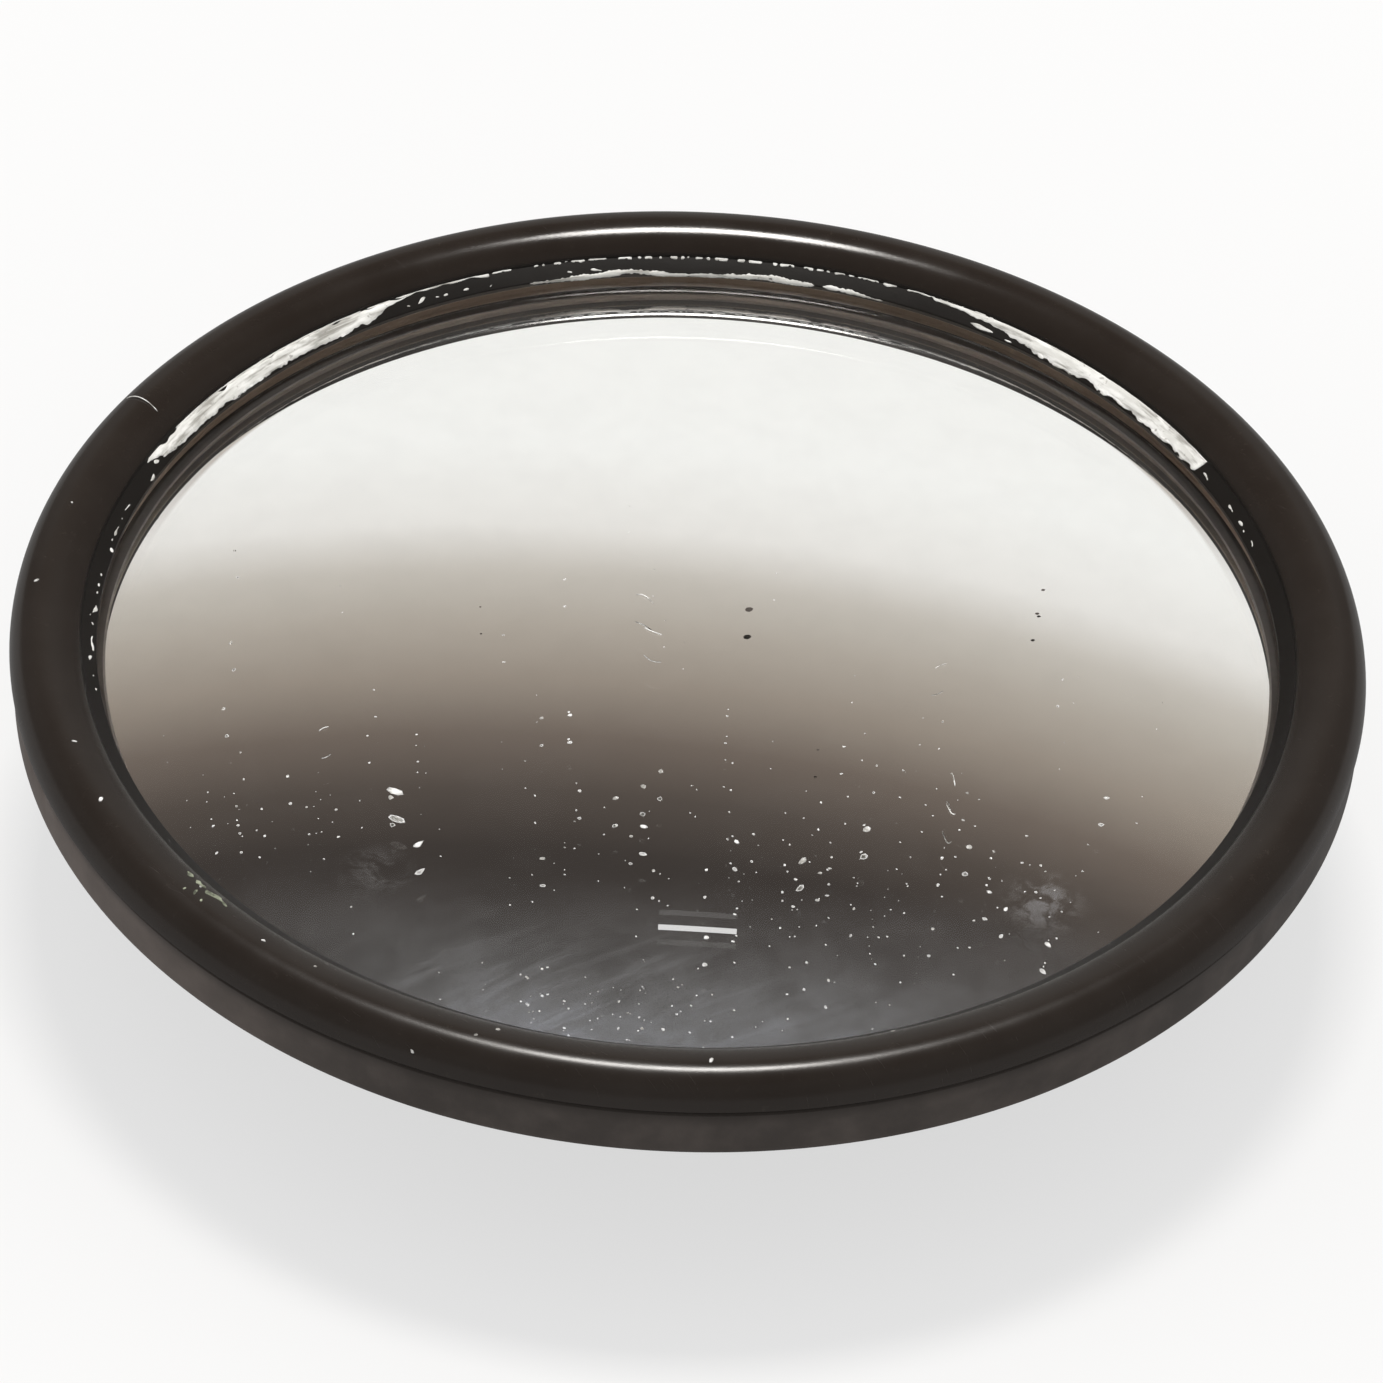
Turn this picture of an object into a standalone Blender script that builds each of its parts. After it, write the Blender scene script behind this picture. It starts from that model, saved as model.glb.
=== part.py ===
"""Round stick-on convex mirror on a low swivel-and-tilt foot.

Three bodies. The foot is taped to a flat surface. The turntable spins on the foot about +Z.
The head, which carries the glass, tilts on the turntable about +X.
Metres, +Z up, the origin at the middle of the tape's underside, the glass facing +Z.
"""
import math

import bmesh
import bpy
from mathutils import Vector

MM = 0.001

# Head
HEAD_R = 25.0 * MM              # outside of the rolled rim
BEAD_R = 1.40 * MM              # section radius of the rolled rim
WELL_R = 22.35 * MM             # straight wall inside the rim
LIP_R = 21.80 * MM              # inner edge of the lip that holds the glass
LIP_LOW = 0.02 * MM             # lip heights above the middle of the rolled rim
LIP_HIGH = 0.22 * MM
SKIRT_R = 24.85 * MM            # outside of the housing's skirt
SKIRT_DROP = 2.0 * MM           # from the middle of the rim to the skirt's lower edge
SEAM = 0.12 * MM                # open line between the rim and the skirt
WALL = 1.25 * MM                # skirt thickness
FLOOR_T = 0.9 * MM              # housing floor
FLOOR_R = 20.5 * MM             # flat part of the housing's underside

# Glass
GLASS_R = 22.1 * MM
GLASS_T = 1.3 * MM              # drawn sheet, slumped to a shallow dome
GLASS_CURVE_R = 190.0 * MM      # radius of the convex face
GLASS_SINK = 0.1 * MM           # glass edge below the middle of the rim
COAT_T = 0.08 * MM              # silvering and its backing paint
COAT_R = 21.7 * MM

# Foot and turntable
TAPE_R = 13.2 * MM
TAPE_T = 1.0 * MM
BASE_R = 14.0 * MM
BASE_T = 1.4 * MM
BOSS_R = 3.0 * MM
TABLE_R = 11.5 * MM
TABLE_T = 1.3 * MM
TABLE_LIFT = 0.3 * MM           # running gap over the base disc
WASHER_T = 0.4 * MM
RING_IN_R = 7.8 * MM
RING_OUT_R = 9.8 * MM
SCREW_R = 1.0 * MM
SCREW_HEAD_R = 2.1 * MM
SCREW_HEAD_H = 1.2 * MM

# Tilt hinge
PIN_R = 0.6 * MM
EYE_R = 1.35 * MM
EYE_CLEAR = 0.2 * MM            # eye above the turntable
LUG_IN = 6.1 * MM
LUG_OUT = 7.6 * MM
EAR_IN = 8.0 * MM
EAR_OUT = 9.5 * MM
FLOOR_CLEAR = 0.35 * MM         # eye top to the housing's underside

TOUCH = 0.05 * MM               # between faces that meet
RUN = 0.3 * MM                  # round a turning piece

# Heights, from the tape's underside upwards
BASE_Z = TAPE_T + TOUCH
BASE_TOP = BASE_Z + BASE_T
TABLE_Z = BASE_TOP + TABLE_LIFT
TABLE_TOP = TABLE_Z + TABLE_T
BOSS_TOP = TABLE_TOP + 0.15 * MM
HINGE_Z = TABLE_TOP + EYE_CLEAR + EYE_R
UNDER_Z = HINGE_Z + EYE_R + FLOOR_CLEAR
FLOOR_Z = UNDER_Z + FLOOR_T
RIM_Z = FLOOR_Z + SKIRT_DROP + 0.2 * MM

# The same places measured from the middle of the rim
FLOOR_REL = FLOOR_Z - RIM_Z
UNDER_REL = UNDER_Z - RIM_Z

HEAD_STEPS = 72
FOOT_STEPS = 60
SMALL_STEPS = 24

BLACK = (0.026, 0.021, 0.018)
GREY_BLACK = (0.040, 0.036, 0.033)
FOAM_GREY = (0.18, 0.18, 0.18)
FOAM_WHITE = (0.72, 0.71, 0.68)
SEALANT_WHITE = (0.74, 0.76, 0.72)
STEEL = (0.62, 0.61, 0.59)
SILVER = (0.92, 0.92, 0.91)
GLASS_TINT = (0.94, 0.97, 0.95)
RUBBER = (0.020, 0.020, 0.021)


def clear_scene():
    for obj in list(bpy.data.objects):
        bpy.data.objects.remove(obj, do_unlink=True)


def make_material(name, colour, roughness, metallic=0.0, transmission=0.0):
    material = bpy.data.materials.new(name)
    material.use_nodes = True
    shader = material.node_tree.nodes["Principled BSDF"]
    shader.inputs["Base Color"].default_value = (*colour, 1.0)
    shader.inputs["Roughness"].default_value = roughness
    shader.inputs["Metallic"].default_value = metallic
    shader.inputs["Transmission Weight"].default_value = transmission
    return material


def add_object(name, mesh_data, material, parent, height=0.0):
    mesh = bpy.data.meshes.new(name)
    bmesh.ops.recalc_face_normals(mesh_data, faces=mesh_data.faces)
    mesh_data.to_mesh(mesh)
    mesh_data.free()
    mesh.shade_smooth()
    mesh.set_sharp_from_angle(angle=math.radians(32))
    if material:
        mesh.materials.append(material)
    obj = bpy.data.objects.new(name, mesh)
    bpy.context.scene.collection.objects.link(obj)
    obj.parent = parent
    obj.location = (0.0, 0.0, height)
    return obj


def add_axis(name, height, parent=None):
    empty = bpy.data.objects.new(name, None)
    empty.empty_display_size = 5 * MM
    bpy.context.scene.collection.objects.link(empty)
    empty.parent = parent
    empty.location = (0.0, 0.0, height)
    return empty


def turned(profile, steps, closed):
    """Spin (radius, height) points about Z. A closed profile makes a ring.

    An open profile starts and ends on the axis.
    """
    work = bmesh.new()
    rings = []
    for radius, height in profile:
        if radius < 1e-9:
            rings.append([work.verts.new((0.0, 0.0, height))])
            continue
        ring = []
        for step in range(steps):
            angle = 2 * math.pi * step / steps
            ring.append(work.verts.new((radius * math.cos(angle), radius * math.sin(angle), height)))
        rings.append(ring)
    pairs = list(zip(rings, rings[1:]))
    if closed:
        pairs.append((rings[-1], rings[0]))
    for first, second in pairs:
        for step in range(steps):
            ahead = (step + 1) % steps
            if len(first) == 1:
                work.faces.new((first[0], second[step], second[ahead]))
            elif len(second) == 1:
                work.faces.new((first[step], second[0], first[ahead]))
            else:
                work.faces.new((first[step], second[step], second[ahead], first[ahead]))
    return work


def rod(radius, start, end, steps):
    """A cylinder along X."""
    work = bmesh.new()
    rims = []
    for place in (start, end):
        rim = []
        for step in range(steps):
            angle = 2 * math.pi * step / steps
            rim.append(work.verts.new((place, radius * math.cos(angle), radius * math.sin(angle))))
        rims.append(rim)
        work.faces.new(rim)
    for step in range(steps):
        ahead = (step + 1) % steps
        work.faces.new((rims[0][step], rims[0][ahead], rims[1][ahead], rims[1][step]))
    return work


def turned_along_x(profile, steps):
    """Turn (radius, x) points about X. The profile starts and ends on the axis."""
    work = turned(profile, steps, closed=False)
    for vert in work.verts:
        vert.co = Vector((vert.co.z, vert.co.x, vert.co.y))
    return work


def eye_plate(start, end, root):
    """A hinge plate across X: a round eye on the axis and straight sides to its root height."""
    side = 1.0 if root > 0 else -1.0
    outline = [(-EYE_R, root), (EYE_R, root)]
    arcs = 14
    for step in range(arcs + 1):
        angle = math.pi * step / arcs
        outline.append((EYE_R * math.cos(angle), -side * EYE_R * math.sin(angle)))
    work = bmesh.new()
    near = []
    far = []
    for across, up in outline:
        near.append(work.verts.new((start, across, up)))
        far.append(work.verts.new((end, across, up)))
    work.faces.new(near)
    work.faces.new(far)
    count = len(outline)
    for step in range(count):
        ahead = (step + 1) % count
        work.faces.new((near[step], near[ahead], far[ahead], far[step]))
    return work


def cross_prism(reach, width, low, high):
    """A plus sign extruded upwards, for a cross recess."""
    half = width / 2
    arm = [(half, half), (half, reach), (-half, reach)]
    outline = []
    for quarter in range(4):
        turn = math.pi / 2 * quarter
        for x, y in arm:
            outline.append((x * math.cos(turn) - y * math.sin(turn), x * math.sin(turn) + y * math.cos(turn)))
    work = bmesh.new()
    bottom = [work.verts.new((x, y, low)) for x, y in outline]
    top = [work.verts.new((x, y, high)) for x, y in outline]
    work.faces.new(bottom)
    work.faces.new(top)
    for step in range(len(outline)):
        ahead = (step + 1) % len(outline)
        work.faces.new((bottom[step], bottom[ahead], top[ahead], top[step]))
    return work


def combine(target, tool, operation):
    """Join a tool to its target, or cut with it. The tool itself is only a guide."""
    tool.hide_render = True
    tool.display_type = "WIRE"
    change = target.modifiers.new(tool.name, "BOOLEAN")
    change.operation = operation
    change.object = tool


def dome_height(radius):
    """Height of the convex glass face above its own edge."""
    edge = math.sqrt(GLASS_CURVE_R ** 2 - GLASS_R ** 2)
    return math.sqrt(GLASS_CURVE_R ** 2 - radius ** 2) - edge


def dome_sheet(top, thickness, radius, rings=6):
    """Profile of a domed sheet, its upper edge at the height top when it reaches the glass edge."""
    upper = []
    for step in range(rings + 1):
        place = radius * step / rings
        upper.append((place, top + dome_height(place)))
    lower = [(place, height - thickness) for place, height in reversed(upper)]
    return upper + lower


def build_foot(foot, materials):
    tape = [(0.0, 0.0), (TAPE_R, 0.0), (TAPE_R, TAPE_T), (0.0, TAPE_T)]
    add_object("mounting_tape", turned(tape, FOOT_STEPS, False), materials["foam_grey"], foot)

    groove_z = BASE_TOP - 0.5 * MM
    edge = 0.35 * MM
    bore_r = SCREW_R + TOUCH
    base = [
        (0.0, BASE_Z),
        (BASE_R - edge, BASE_Z),
        (BASE_R, BASE_Z + edge),
        (BASE_R, BASE_TOP - edge),
        (BASE_R - edge, BASE_TOP),
        (RING_OUT_R + 0.1 * MM, BASE_TOP),
        (RING_OUT_R + 0.1 * MM, groove_z),
        (RING_IN_R - 0.1 * MM, groove_z),
        (RING_IN_R - 0.1 * MM, BASE_TOP),
        (BOSS_R, BASE_TOP),
        (BOSS_R, BOSS_TOP),
        (bore_r, BOSS_TOP),
        (bore_r, BASE_Z + 0.6 * MM),
        (0.0, BASE_Z + 0.6 * MM),
    ]
    add_object("base_disc", turned(base, FOOT_STEPS, False), materials["black"], foot)

    ring_low = groove_z + TOUCH
    ring_top = TABLE_Z - TOUCH
    ring = [
        (RING_IN_R, ring_low),
        (RING_OUT_R, ring_low),
        (RING_OUT_R, ring_top),
        (RING_IN_R, ring_top),
    ]
    add_object("friction_ring", turned(ring, FOOT_STEPS, True), materials["rubber"], foot)

    washer_low = BOSS_TOP + TOUCH
    washer_top = washer_low + WASHER_T
    washer = [
        (SCREW_R + 0.25 * MM, washer_low),
        (4.8 * MM, washer_low),
        (4.8 * MM, washer_top),
        (SCREW_R + 0.25 * MM, washer_top),
    ]
    add_object("pivot_washer", turned(washer, FOOT_STEPS, True), materials["steel"], foot)

    head_low = washer_top + TOUCH
    head_top = head_low + SCREW_HEAD_H
    tip = BASE_Z + 0.7 * MM
    screw = [
        (0.0, tip),
        (SCREW_R * 0.6, tip),
        (SCREW_R, tip + 0.5 * MM),
        (SCREW_R, head_low),
        (SCREW_HEAD_R, head_low),
        (SCREW_HEAD_R, head_low + 0.5 * SCREW_HEAD_H),
        (SCREW_HEAD_R * 0.86, head_low + 0.82 * SCREW_HEAD_H),
        (SCREW_HEAD_R * 0.5, head_top),
        (0.0, head_top),
    ]
    pivot_screw = add_object("pivot_screw", turned(screw, FOOT_STEPS, False), materials["steel"], foot)
    recess = cross_prism(1.2 * MM, 0.5 * MM, head_top - 0.6 * MM, head_top + 0.3 * MM)
    combine(pivot_screw, add_object("screw_recess", recess, None, foot), "DIFFERENCE")


def build_turntable(spin, tilt, materials):
    edge = 0.25 * MM
    low = TABLE_Z - HINGE_Z
    top = TABLE_TOP - HINGE_Z
    plate = [
        (BOSS_R + RUN, low),
        (TABLE_R - edge, low),
        (TABLE_R, low + edge),
        (TABLE_R, top - edge),
        (TABLE_R - edge, top),
        (BOSS_R + RUN, top),
    ]
    offset = HINGE_Z - TABLE_Z
    table = add_object("turntable", turned(plate, FOOT_STEPS, True), materials["black"], spin, offset)

    root = top - 0.5 * MM
    for side, name in ((-1, "left"), (1, "right")):
        ear = eye_plate(side * EAR_IN, side * EAR_OUT, root)
        combine(table, add_object("ear_" + name, ear, None, spin, offset), "UNION")
    bore = rod(PIN_R + 0.02 * MM, -EAR_OUT - MM, EAR_OUT + MM, SMALL_STEPS)
    combine(table, add_object("ear_bore", bore, None, spin, offset), "DIFFERENCE")

    for side, name in ((-1, "left"), (1, "right")):
        pin = [
            (0.0, side * (LUG_IN - 0.3 * MM)),
            (PIN_R - 0.15 * MM, side * (LUG_IN - 0.3 * MM)),
            (PIN_R, side * (LUG_IN - 0.15 * MM)),
            (PIN_R, side * (EAR_OUT + TOUCH)),
            (1.1 * MM, side * (EAR_OUT + TOUCH)),
            (1.1 * MM, side * (EAR_OUT + 0.35 * MM)),
            (0.8 * MM, side * (EAR_OUT + 0.5 * MM)),
            (0.0, side * (EAR_OUT + 0.5 * MM)),
        ]
        solid = turned_along_x(pin, SMALL_STEPS)
        add_object("hinge_pin_" + name, solid, materials["steel"], tilt)

        inner = side * (LUG_OUT + TOUCH)
        outer = side * (EAR_IN - TOUCH)
        washer = turned(
            [(PIN_R + 0.08 * MM, inner), (EYE_R - TOUCH, inner), (EYE_R - TOUCH, outer), (PIN_R + 0.08 * MM, outer)],
            SMALL_STEPS,
            True,
        )
        for vert in washer.verts:
            vert.co = Vector((vert.co.z, vert.co.x, vert.co.y))
        add_object("spring_washer_" + name, washer, materials["steel"], tilt)


def build_head(tilt, materials):
    lift = RIM_Z - HINGE_Z
    inside_r = SKIRT_R - WALL
    shell = [
        (0.0, FLOOR_REL),
        (inside_r, FLOOR_REL),
        (inside_r, -SEAM),
        (SKIRT_R - 0.2 * MM, -SEAM),
        (SKIRT_R, -SEAM - 0.18 * MM),
        (SKIRT_R, -SKIRT_DROP + 0.3 * MM),
        (SKIRT_R - 0.09 * MM, -SKIRT_DROP + 0.09 * MM),
        (SKIRT_R - 0.3 * MM, -SKIRT_DROP),
        (FLOOR_R, UNDER_REL),
        (0.0, UNDER_REL),
    ]
    housing = add_object("housing_shell", turned(shell, HEAD_STEPS, False), materials["black"], tilt, lift)
    root = UNDER_Z - HINGE_Z + 0.5 * FLOOR_T
    for side, name in ((-1, "left"), (1, "right")):
        lug = eye_plate(side * LUG_IN, side * LUG_OUT, root)
        combine(housing, add_object("lug_" + name, lug, None, tilt), "UNION")
    bore = rod(PIN_R + 0.08 * MM, -LUG_OUT - 0.2 * MM, LUG_OUT + 0.2 * MM, SMALL_STEPS)
    combine(housing, add_object("lug_bore", bore, None, tilt), "DIFFERENCE")

    bead_centre = HEAD_R - BEAD_R
    spigot_r = inside_r - TOUCH
    spigot_low = FLOOR_REL + RUN
    start = math.radians(5)
    finish = math.pi - math.acos((bead_centre - WELL_R) / BEAD_R)
    rim = [
        (WELL_R, spigot_low),
        (spigot_r, spigot_low),
        (spigot_r, 0.0),
        (HEAD_R - 0.2 * MM, 0.0),
    ]
    arcs = 12
    for step in range(arcs + 1):
        angle = start + (finish - start) * step / arcs
        rim.append((bead_centre + BEAD_R * math.cos(angle), BEAD_R * math.sin(angle)))
    rim += [(LIP_R, LIP_HIGH), (LIP_R, LIP_LOW), (WELL_R, LIP_LOW)]
    add_object("bezel_ring", turned(rim, HEAD_STEPS, True), materials["black"], tilt, lift)

    glass = dome_sheet(-GLASS_SINK, GLASS_T, GLASS_R)
    add_object("mirror_glass", turned(glass, HEAD_STEPS, False), materials["glass"], tilt, lift)

    coat_top = -GLASS_SINK - GLASS_T - 0.02 * MM
    coat = dome_sheet(coat_top, COAT_T, COAT_R)
    add_object("mirror_coating", turned(coat, HEAD_STEPS, False), materials["silver"], tilt, lift)

    gap = 0.03 * MM
    seal_low = -GLASS_SINK - GLASS_T + 0.1 * MM
    seal = [
        (GLASS_R + gap, seal_low),
        (WELL_R - gap, seal_low),
        (WELL_R - gap, -GLASS_SINK - 0.02 * MM),
        (GLASS_R + gap, -GLASS_SINK - 0.05 * MM),
    ]
    add_object("glass_sealant", turned(seal, HEAD_STEPS, True), materials["sealant"], tilt, lift)

    pad_top = coat_top - COAT_T - TOUCH
    pad_in = 12.0 * MM
    pad_out = 19.0 * MM
    pad = [(pad_in, FLOOR_REL + TOUCH), (pad_out, FLOOR_REL + TOUCH)]
    for step in range(4):
        place = pad_out + (pad_in - pad_out) * step / 3
        pad.append((place, pad_top + dome_height(place)))
    add_object("glass_pad", turned(pad, HEAD_STEPS, True), materials["foam_white"], tilt, lift)


def main():
    clear_scene()
    materials = {
        "black": make_material("black_plastic", BLACK, 0.32),
        "rubber": make_material("black_rubber", RUBBER, 0.8),
        "foam_grey": make_material("grey_foam_tape", FOAM_GREY, 0.85),
        "foam_white": make_material("white_foam", FOAM_WHITE, 0.9),
        "sealant": make_material("white_sealant", SEALANT_WHITE, 0.6),
        "steel": make_material("plated_steel", STEEL, 0.3, metallic=1.0),
        "silver": make_material("silvering", SILVER, 0.03, metallic=1.0),
        "glass": make_material("clear_glass", GLASS_TINT, 0.02, transmission=1.0),
    }
    foot = add_axis("foot", 0.0)
    spin = add_axis("spin_axis", TABLE_Z)
    tilt = add_axis("tilt_axis", HINGE_Z - TABLE_Z, spin)
    build_foot(foot, materials)
    build_turntable(spin, tilt, materials)
    build_head(tilt, materials)


main()
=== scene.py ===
"""Looks for the round stick-on convex mirror: finer shapes, materials, light and camera.

Lengths are in millimetres until a mesh is made. Z is measured from the foam tape's underside.
Angles round the head are in degrees, 0 at +X and 90 at +Y.
"""

import math
import random

import bmesh
import bpy
from mathutils import Matrix, Vector, noise


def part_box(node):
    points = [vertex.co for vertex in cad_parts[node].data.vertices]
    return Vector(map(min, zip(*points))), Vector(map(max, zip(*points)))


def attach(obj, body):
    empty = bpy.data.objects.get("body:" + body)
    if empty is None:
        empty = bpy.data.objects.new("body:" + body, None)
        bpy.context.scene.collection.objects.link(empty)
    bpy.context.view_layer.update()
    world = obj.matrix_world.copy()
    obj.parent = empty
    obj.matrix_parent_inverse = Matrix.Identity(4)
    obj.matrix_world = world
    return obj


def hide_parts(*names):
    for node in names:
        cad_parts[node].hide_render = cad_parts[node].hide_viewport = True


MM = 0.001

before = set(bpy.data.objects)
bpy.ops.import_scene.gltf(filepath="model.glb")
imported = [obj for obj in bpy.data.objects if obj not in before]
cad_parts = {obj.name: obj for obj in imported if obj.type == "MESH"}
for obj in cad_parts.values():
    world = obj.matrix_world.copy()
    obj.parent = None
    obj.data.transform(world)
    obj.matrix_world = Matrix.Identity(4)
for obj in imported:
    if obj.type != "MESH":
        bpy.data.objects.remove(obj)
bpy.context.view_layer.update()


def node_box(node):
    """Lowest and highest corner of a CAD node, in millimetres."""
    low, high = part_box(node)
    return low / MM, high / MM


# Places read from the frame
RIM_HIGH = node_box("bezel_ring")[1]
SHELL_HIGH = node_box("housing_shell")[1]
GLASS_HIGH = node_box("mirror_glass")[1]
TABLE_LOW, TABLE_HIGH = node_box("turntable")
BASE_LOW, BASE_HIGH = node_box("base_disc")
TAPE_HIGH = node_box("mounting_tape")[1]
WASHER_LOW, WASHER_HIGH = node_box("pivot_washer")
PIN_LOW, PIN_HIGH = node_box("hinge_pin_right")
SPRING_LOW, SPRING_HIGH = node_box("spring_washer_right")

# Head
BEAD_R = 1.40                   # half the height of the rolled bead
RIM_Z = RIM_HIGH.z - BEAD_R     # middle of the bead
HEAD_R = RIM_HIGH.x
WELL_R = 22.35                  # foot of the bead, where the ledge starts
LEDGE_RISE = 0.585              # that foot above RIM_Z
LIP_R = 21.80                   # inner edge of the lip over the glass
LIP_LOW = 0.02                  # lip heights above RIM_Z
LIP_HIGH = 0.22
BEAD_OUT = 1.18                 # bead's reach outwards and inwards from its top
BEAD_IN = 1.62
SKIRT_R = SHELL_HIGH.x
WALL = 1.25
SKIRT_DROP = 2.0                # from RIM_Z to the skirt's lower edge
SEAM = 0.12                     # open line between bezel and housing
FLOOR_T = 0.9
UNDER_Z = RIM_Z - SKIRT_DROP - 0.2 - FLOOR_T
FLOOR_R = 20.5

# Glass
GLASS_R = GLASS_HIGH.x
GLASS_T = 1.3
CURVE_R = 190.0                 # radius of the convex face
GLASS_EDGE_Z = RIM_Z - 0.1
SILVER_R = 21.5
SILVER_LINE = 0.09              # thin bright line at the silvering's edge

# Foot
HINGE_Z = (PIN_LOW.z + PIN_HIGH.z) / 2
EYE_R = 1.35
PIN_R = 0.6
TABLE_T = 1.3
TABLE_TOP = TABLE_LOW.z + TABLE_T
BASE_T = 1.4
BASE_TOP = BASE_LOW.z + BASE_T
BOSS_R = 3.0
SCREW_HOLE_R = 1.05
GROOVE_IN = 7.7                 # groove for the friction ring
GROOVE_OUT = 9.9
GROOVE_DEEP = 0.5
LINE_DEEP = 0.12                # moulded ring lines
LUG_IN = 6.1                    # hinge plates along X
LUG_OUT = 7.6
EAR_IN = 8.0
EAR_OUT = 9.5
PIN_HEAD_R = 1.1
PIN_HEAD_IN = 9.55

# Camera
CAMERA_ELEVATION = 41.04
CAMERA_DISTANCE = 331.6
CAMERA_ROLL = 2.63
CAMERA_TARGET = (0.18, -2.56)
CAMERA_LENS = 235.4

# Steps round a turned shape
FINE = 288
MEDIUM = 144
SMALL = 64


# ---------------------------------------------------------------- shapes

def rounded(points, radius, closed=True, steps=5):
    """The same outline with its corners rounded. A point may carry its own radius as a third value."""
    result = []
    count = len(points)
    for index, point in enumerate(points):
        here = Vector(point[:2])
        wanted = point[2] if len(point) > 2 else radius
        if wanted <= 0 or (not closed and index in (0, count - 1)):
            result.append(tuple(here))
            continue
        before = Vector(points[index - 1][:2]) - here
        after = Vector(points[(index + 1) % count][:2]) - here
        turn = before.angle(after)
        if turn > math.radians(176):
            result.append(tuple(here))
            continue
        reach = min(wanted / math.tan(turn / 2), 0.45 * before.length, 0.45 * after.length)
        start = here + before.normalized() * reach
        finish = here + after.normalized() * reach
        for step in range(steps + 1):
            t = step / steps
            curve = start * (1 - t) ** 2 + here * 2 * t * (1 - t) + finish * t ** 2
            result.append(tuple(curve))
    return result


def turned(profile, steps, closed=True, wobble=None):
    """Spin (radius, height) points about Z. An open profile starts and ends on the axis.

    wobble(angle, radius, height) gives a changed radius and height.
    """
    work = bmesh.new()
    rings = []
    for radius, height in profile:
        if radius < 1e-6:
            rings.append([work.verts.new((0.0, 0.0, height * MM))])
            continue
        ring = []
        for step in range(steps):
            angle = 2 * math.pi * step / steps
            r, z = wobble(angle, radius, height) if wobble else (radius, height)
            ring.append(work.verts.new((r * math.cos(angle) * MM, r * math.sin(angle) * MM, z * MM)))
        rings.append(ring)
    pairs = list(zip(rings, rings[1:]))
    if closed:
        pairs.append((rings[-1], rings[0]))
    for first, second in pairs:
        for step in range(steps):
            ahead = (step + 1) % steps
            if len(first) == 1:
                work.faces.new((first[0], second[step], second[ahead]))
            elif len(second) == 1:
                work.faces.new((first[step], second[0], first[ahead]))
            else:
                work.faces.new((first[step], second[step], second[ahead], first[ahead]))
    return work


def along_x(work):
    """Turn a shape made about Z so that it lies about X."""
    for vert in work.verts:
        vert.co = Vector((vert.co.z, vert.co.x, vert.co.y))
    return work


def moved(work, x=0.0, y=0.0, z=0.0):
    bmesh.ops.translate(work, verts=work.verts, vec=Vector((x, y, z)) * MM)
    return work


def piece(name, work, body, materials, stands_for=(), sharp=40):
    """Make a piece that rides on a body, takes a record slot's finish and may stand for CAD nodes."""
    bmesh.ops.recalc_face_normals(work, faces=work.faces)
    mesh = bpy.data.meshes.new(name)
    work.to_mesh(mesh)
    work.free()
    mesh.shade_smooth()
    mesh.set_sharp_from_angle(angle=math.radians(sharp))
    for material in materials:
        mesh.materials.append(material)
    obj = bpy.data.objects.new(name, mesh)
    bpy.context.scene.collection.objects.link(obj)
    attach(obj, body)
    if stands_for:
        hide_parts(*stands_for)
    return obj


def eye_plate(x_in, x_out, root_z, bore_r, flare, steps=72, edge=0.1):
    """A hinge plate across X: an eye round the hinge axis, a bore, and a flared root."""
    work = bmesh.new()
    up = 1 if root_z > HINGE_Z else -1
    height = abs(root_z - HINGE_Z)

    def outline(angle, inset):
        """Point of the outline in a direction from the hinge axis, the root along +up."""
        c, s = math.cos(angle), math.sin(angle)
        radius = EYE_R - inset
        if s <= 0:
            return radius * c, radius * s
        side = radius / max(abs(c), 1e-6)
        top = height / max(s, 1e-6)
        reach = min(side, top)
        y, z = reach * c, reach * s
        spread = 1 + flare * (z / height) ** 4
        return y * spread, z

    columns = [(x_in, edge), (x_in + edge * 0.3, edge * 0.3), (x_in + edge, 0.0)]
    columns += [(x_out - edge, 0.0), (x_out - edge * 0.3, edge * 0.3), (x_out, edge)]
    loops = []
    for x, inset in columns:
        loop = []
        for step in range(steps):
            angle = 2 * math.pi * step / steps
            y, z = outline(angle, inset)
            loop.append(work.verts.new((x * MM, y * MM, (HINGE_Z + up * z) * MM)))
        loops.append(loop)
    for x in (x_out, x_in):
        loop = []
        for step in range(steps):
            angle = 2 * math.pi * step / steps
            y, z = bore_r * math.cos(angle), bore_r * math.sin(angle)
            loop.append(work.verts.new((x * MM, y * MM, (HINGE_Z + up * z) * MM)))
        loops.append(loop)
    for first, second in zip(loops, loops[1:] + loops[:1]):
        for step in range(steps):
            ahead = (step + 1) % steps
            work.faces.new((first[step], first[ahead], second[ahead], second[step]))
    return work


# ---------------------------------------------------------------- materials

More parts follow.
